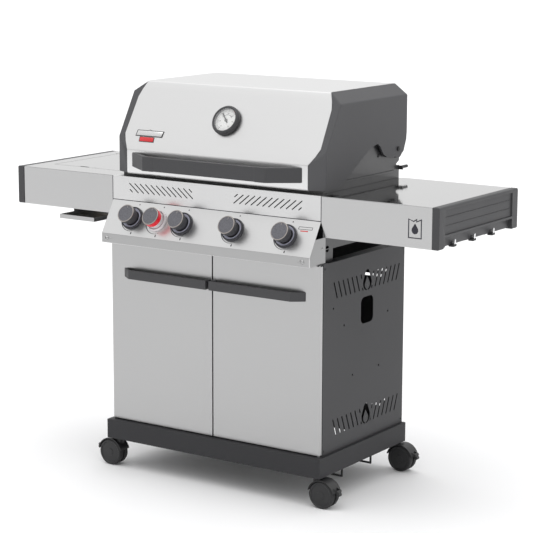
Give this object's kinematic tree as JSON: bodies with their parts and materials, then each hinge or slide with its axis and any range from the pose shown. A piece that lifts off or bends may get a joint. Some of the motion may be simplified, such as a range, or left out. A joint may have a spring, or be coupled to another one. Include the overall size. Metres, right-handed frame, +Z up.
{
  "type": "gas barbecue grill",
  "caption": "Gas barbecue on a closed cart: hinged stainless lid with cast ends, control knobs on a leaning panel, two doors, two side shelves, a side burner and swivel casters.",
  "frame": {"origin": "on the ground, at the centre of the overall box", "axes": "+X to the user's right along the shelves, +Y from the doors towards the back, +Z up"},
  "size_m": [1.42, 0.5356, 1.12],
  "materials": {
    "bezel": "satin chrome ring on a dark base",
    "black_enamel": "porcelain enamel",
    "black_plastic": "satin",
    "black_wire": "satin",
    "brass": "machined",
    "dark_trim": "satin moulded plastic",
    "galvanised": "dull",
    "glass": "clear",
    "grey_paint": "satin powder coat",
    "iron": "matte enamel",
    "knob_face": "fine cast texture, satin",
    "needle": "matte",
    "stainless": "fine brushed grain",
    "tread": "matte",
    "wire": "bright"
  },
  "bodies": {
    "cart": {"base_frame": "grey_paint", "bottle_cradle": "black_wire", "cabinet_side_left": "grey_paint", "cabinet_side_right": "grey_paint", "cabinet_back": "grey_paint", "front_frame": "grey_paint", "firebox": "black_enamel", "burners": "stainless", "flame_covers": "stainless", "cooking_grates": "iron", "warming_rack": "wire", "vent_panel": "stainless", "control_panel": "stainless", "knob_bezels": "bezel", "gas_manifold": "brass", "lid_pins": "wire", "shelf_left": "stainless", "shelf_right": "stainless", "shelf_cap_left": "dark_trim", "shelf_cap_right": "dark_trim", "tool_hooks": "wire", "side_burner_pan": "stainless", "side_burner_head": "iron"},
    "lid": {"lid_skin": "stainless", "lid_casting_left": "grey_paint", "lid_casting_right": "grey_paint", "lid_handle": "grey_paint", "thermometer_case": "stainless", "thermometer_glass": "glass", "lid_badge": "grey_paint"},
    "thermometer_pointer": {"thermometer_needle": "needle"},
    "left_door": {"door_left": "stainless", "door_handle_left": "grey_paint"},
    "right_door": {"door_right": "stainless", "door_handle_right": "grey_paint"},
    "grease_drawer": {"grease_tray": "galvanised"},
    "drip_drawer": {"drip_tray": "stainless"},
    "side_cover": {"side_burner_cover": "stainless"},
    "stem_1": {"knob_stem_1": "brass"},
    "knob_1": {"knob_1": "knob_face"},
    "stem_2": {"knob_stem_2": "brass"},
    "knob_2": {"knob_2": "knob_face"},
    "stem_3": {"knob_stem_3": "brass"},
    "knob_3": {"knob_3": "knob_face"},
    "stem_4": {"knob_stem_4": "brass"},
    "knob_4": {"knob_4": "knob_face"},
    "stem_5": {"knob_stem_5": "brass"},
    "knob_5": {"knob_5": "knob_face"},
    "caster_fl": {"caster_hood_fl": "black_plastic"},
    "wheels_fl": {"caster_wheels_fl": "tread"},
    "pedal_fl": {"caster_pedal_fl": "black_plastic"},
    "caster_fr": {"caster_hood_fr": "black_plastic"},
    "wheels_fr": {"caster_wheels_fr": "tread"},
    "pedal_fr": {"caster_pedal_fr": "black_plastic"},
    "caster_rl": {"caster_hood_rl": "black_plastic"},
    "wheels_rl": {"caster_wheels_rl": "tread"},
    "pedal_rl": {"caster_pedal_rl": "black_plastic"},
    "caster_rr": {"caster_hood_rr": "black_plastic"},
    "wheels_rr": {"caster_wheels_rr": "tread"},
    "pedal_rr": {"caster_pedal_rr": "black_plastic"}
  },
  "joints": [
    {"name": "lid_hinge", "type": "hinge", "parent": "cart", "child": "lid", "pos_m": [0, 0.20882, 0.941], "axis": [-1, 0, 0], "range_deg": [0, 88]},
    {"name": "thermometer_turn", "type": "hinge", "parent": "lid", "child": "thermometer_pointer", "pos_m": [0.005, -0.13318, 1.0265], "axis": [0, 0.866, -0.5001], "range_deg": [0, 260]},
    {"name": "left_door_hinge", "type": "hinge", "parent": "cart", "child": "left_door", "pos_m": [-0.3505, -0.19368, 0.4], "axis": [0, 0, -1], "range_deg": [0, 110]},
    {"name": "right_door_hinge", "type": "hinge", "parent": "cart", "child": "right_door", "pos_m": [0.3505, -0.19368, 0.4], "axis": [0, 0, 1], "range_deg": [0, 110]},
    {"name": "grease_tray_slide", "type": "slide", "parent": "cart", "child": "grease_drawer", "axis": [0, 1, 0], "range_m": [0, 0.3]},
    {"name": "drip_tray_slide", "type": "slide", "parent": "cart", "child": "drip_drawer", "axis": [0, -1, 0], "range_m": [0, 0.15]},
    {"name": "side_cover_hinge", "type": "hinge", "parent": "cart", "child": "side_cover", "pos_m": [-0.52025, 0.18682, 0.853], "axis": [-1, 0, 0], "range_deg": [0, 95]},
    {"name": "valve_1_turn", "type": "hinge", "parent": "cart", "child": "stem_1", "pos_m": [-0.2595, -0.22118, 0.7425], "axis": [0, -0.8575, 0.5145], "range_deg": [0, 220]},
    {"name": "knob_1_press", "type": "slide", "parent": "stem_1", "child": "knob_1", "axis": [0, 0.8575, -0.5145], "range_m": [0, 0.004], "stiffness_N_per_m": 400},
    {"name": "valve_2_turn", "type": "hinge", "parent": "cart", "child": "stem_2", "pos_m": [-0.173, -0.22118, 0.7425], "axis": [0, -0.8575, 0.5145], "range_deg": [0, 220]},
    {"name": "knob_2_press", "type": "slide", "parent": "stem_2", "child": "knob_2", "axis": [0, 0.8575, -0.5145], "range_m": [0, 0.004], "stiffness_N_per_m": 400},
    {"name": "valve_3_turn", "type": "hinge", "parent": "cart", "child": "stem_3", "pos_m": [-0.0865, -0.22118, 0.7425], "axis": [0, -0.8575, 0.5145], "range_deg": [0, 220]},
    {"name": "knob_3_press", "type": "slide", "parent": "stem_3", "child": "knob_3", "axis": [0, 0.8575, -0.5145], "range_m": [0, 0.004], "stiffness_N_per_m": 400},
    {"name": "valve_4_turn", "type": "hinge", "parent": "cart", "child": "stem_4", "pos_m": [0.0865, -0.22118, 0.7425], "axis": [0, -0.8575, 0.5145], "range_deg": [0, 220]},
    {"name": "knob_4_press", "type": "slide", "parent": "stem_4", "child": "knob_4", "axis": [0, 0.8575, -0.5145], "range_m": [0, 0.004], "stiffness_N_per_m": 400},
    {"name": "valve_5_turn", "type": "hinge", "parent": "cart", "child": "stem_5", "pos_m": [0.2595, -0.22118, 0.7425], "axis": [0, -0.8575, 0.5145], "range_deg": [0, 220]},
    {"name": "knob_5_press", "type": "slide", "parent": "stem_5", "child": "knob_5", "axis": [0, 0.8575, -0.5145], "range_m": [0, 0.004], "stiffness_N_per_m": 400},
    {"name": "swivel_fl", "type": "hinge", "parent": "cart", "child": "caster_fl", "pos_m": [-0.345, -0.18868, 0.095], "axis": [0, 0, 1], "continuous": true},
    {"name": "wheels_fl_spin", "type": "hinge", "parent": "caster_fl", "child": "wheels_fl", "pos_m": [-0.366, -0.18868, 0.038], "axis": [0, 1, 0], "continuous": true},
    {"name": "pedal_fl_press", "type": "hinge", "parent": "caster_fl", "child": "pedal_fl", "pos_m": [-0.4115, -0.18868, 0.0525], "axis": [0, -1, 0], "range_deg": [0, 15]},
    {"name": "swivel_fr", "type": "hinge", "parent": "cart", "child": "caster_fr", "pos_m": [0.345, -0.18868, 0.095], "axis": [0, 0, 1], "continuous": true},
    {"name": "wheels_fr_spin", "type": "hinge", "parent": "caster_fr", "child": "wheels_fr", "pos_m": [0.366, -0.18868, 0.038], "axis": [0, 1, 0], "continuous": true},
    {"name": "pedal_fr_press", "type": "hinge", "parent": "caster_fr", "child": "pedal_fr", "pos_m": [0.4115, -0.18868, 0.0525], "axis": [0, 1, 0], "range_deg": [0, 15]},
    {"name": "swivel_rl", "type": "hinge", "parent": "cart", "child": "caster_rl", "pos_m": [-0.345, 0.23332, 0.095], "axis": [0, 0, 1], "continuous": true},
    {"name": "wheels_rl_spin", "type": "hinge", "parent": "caster_rl", "child": "wheels_rl", "pos_m": [-0.366, 0.23332, 0.038], "axis": [0, 1, 0], "continuous": true},
    {"name": "pedal_rl_press", "type": "hinge", "parent": "caster_rl", "child": "pedal_rl", "pos_m": [-0.4115, 0.23332, 0.0525], "axis": [0, -1, 0], "range_deg": [0, 15]},
    {"name": "swivel_rr", "type": "hinge", "parent": "cart", "child": "caster_rr", "pos_m": [0.345, 0.23332, 0.095], "axis": [0, 0, 1], "continuous": true},
    {"name": "wheels_rr_spin", "type": "hinge", "parent": "caster_rr", "child": "wheels_rr", "pos_m": [0.366, 0.23332, 0.038], "axis": [0, 1, 0], "continuous": true},
    {"name": "pedal_rr_press", "type": "hinge", "parent": "caster_rr", "child": "pedal_rr", "pos_m": [0.4115, 0.23332, 0.0525], "axis": [0, 1, 0], "range_deg": [0, 15]}
  ]
}
